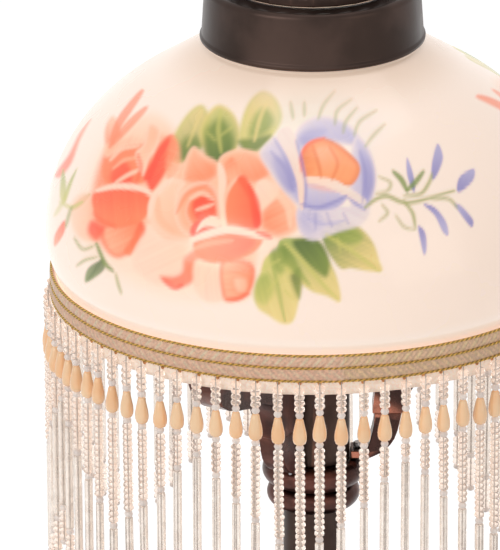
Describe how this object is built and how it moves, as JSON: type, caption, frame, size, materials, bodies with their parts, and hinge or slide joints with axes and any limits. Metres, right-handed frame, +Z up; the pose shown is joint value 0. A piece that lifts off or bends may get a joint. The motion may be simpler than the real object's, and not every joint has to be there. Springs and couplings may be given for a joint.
{
  "type": "table oil lamp",
  "caption": "Table oil lamp with a painted opal-glass dome shade on three bracket arms, a bead fringe, a pierced crown, a flat-wick burner and a glass chimney.",
  "frame": {"origin": "centre of the felt pad's underside, on the table", "axes": "+Z up the lamp's axis; -Y towards the viewer; +X towards the first bracket arm"},
  "size_m": [0.2066, 0.2066, 0.4205],
  "materials": {
    "bronze": "dark mahogany bronze, satin",
    "burner_brass": "satin brass",
    "steel": "plain",
    "iron": "as cast",
    "felt": "felt",
    "cork": "matte",
    "opal_glass": "satin opal, painted flowers",
    "tape": "woven cotton tape",
    "braid": "woven gimp with gold thread",
    "glass_beads": "clear and frosted glass beads",
    "clear_glass": "clear",
    "wick_cotton": "woven cotton"
  },
  "bodies": {
    "stand": {"felt_pad": "felt", "base_weight": "iron", "foot_shell": "bronze", "base_nut": "steel", "base_washer": "steel", "tie_rod": "steel", "stem": "bronze", "stem_ring": "bronze", "font_seat": "bronze", "font_lower": "bronze", "font_upper": "bronze", "font_belt": "bronze", "font_collar": "bronze", "filler_neck": "burner_brass", "hub": "bronze", "riser_tube": "bronze", "arm_lower_1": "bronze", "arm_upper_1": "bronze", "arm_pin_1": "steel", "hub_screw_1": "bronze", "ring_screw_1": "bronze", "arm_lower_2": "bronze", "arm_upper_2": "bronze", "arm_pin_2": "steel", "hub_screw_2": "bronze", "ring_screw_2": "bronze", "arm_lower_3": "bronze", "arm_upper_3": "bronze", "arm_pin_3": "steel", "hub_screw_3": "bronze", "ring_screw_3": "bronze", "shade_ring": "bronze"},
    "filler": {"filler_cap": "burner_brass", "filler_gasket": "cork"},
    "shade": {"glass_shade": "opal_glass", "fringe_tape": "tape", "fringe_braid": "braid", "fringe_panel_1": "glass_beads", "fringe_panel_2": "glass_beads", "fringe_panel_3": "glass_beads", "fringe_panel_4": "glass_beads", "fringe_panel_5": "glass_beads", "fringe_panel_6": "glass_beads", "fringe_panel_7": "glass_beads", "fringe_panel_8": "glass_beads"},
    "crown": {"crown_band": "bronze", "crown_gallery": "bronze", "crown_rim": "bronze"},
    "burner": {"burner_collar": "burner_brass", "burner_basket": "burner_brass", "wick_tube": "burner_brass", "chimney_gallery": "burner_brass", "burner_cone": "burner_brass"},
    "chimney": {"chimney": "clear_glass"},
    "wick": {"wick": "wick_cotton"},
    "wick_raiser": {"wick_shaft": "burner_brass", "wick_wheel_1": "burner_brass", "wick_wheel_2": "burner_brass", "wick_knob": "burner_brass"}
  },
  "joints": [
    {"name": "filler_stopper", "type": "slide", "parent": "stand", "child": "filler", "axis": [0, 0, 1], "range_m": [0, 0.02]},
    {"name": "shade_lift", "type": "slide", "parent": "stand", "child": "shade", "axis": [0, 0, 1], "range_m": [0, 0.31]},
    {"name": "crown_lift", "type": "slide", "parent": "shade", "child": "crown", "axis": [0, 0, 1], "range_m": [0, 0.04]},
    {"name": "burner_lift", "type": "slide", "parent": "stand", "child": "burner", "axis": [0, 0, 1], "range_m": [0, 0.09]},
    {"name": "chimney_lift", "type": "slide", "parent": "burner", "child": "chimney", "axis": [0, 0, 1], "range_m": [0, 0.2]},
    {"name": "knob_turn", "type": "hinge", "parent": "burner", "child": "wick_raiser", "pos_m": [0, 0.006, 0.2186], "axis": [-1, 0, 0], "range_deg": [-109, 54.5]},
    {"name": "wick_slide", "type": "slide", "parent": "burner", "child": "wick", "axis": [0, 0, 1], "range_m": [-0.008, 0.004]}
  ],
  "couplings": [
    {"joint": "wick_slide", "follows": "knob_turn", "m_per_rad": 0.0042}
  ]
}
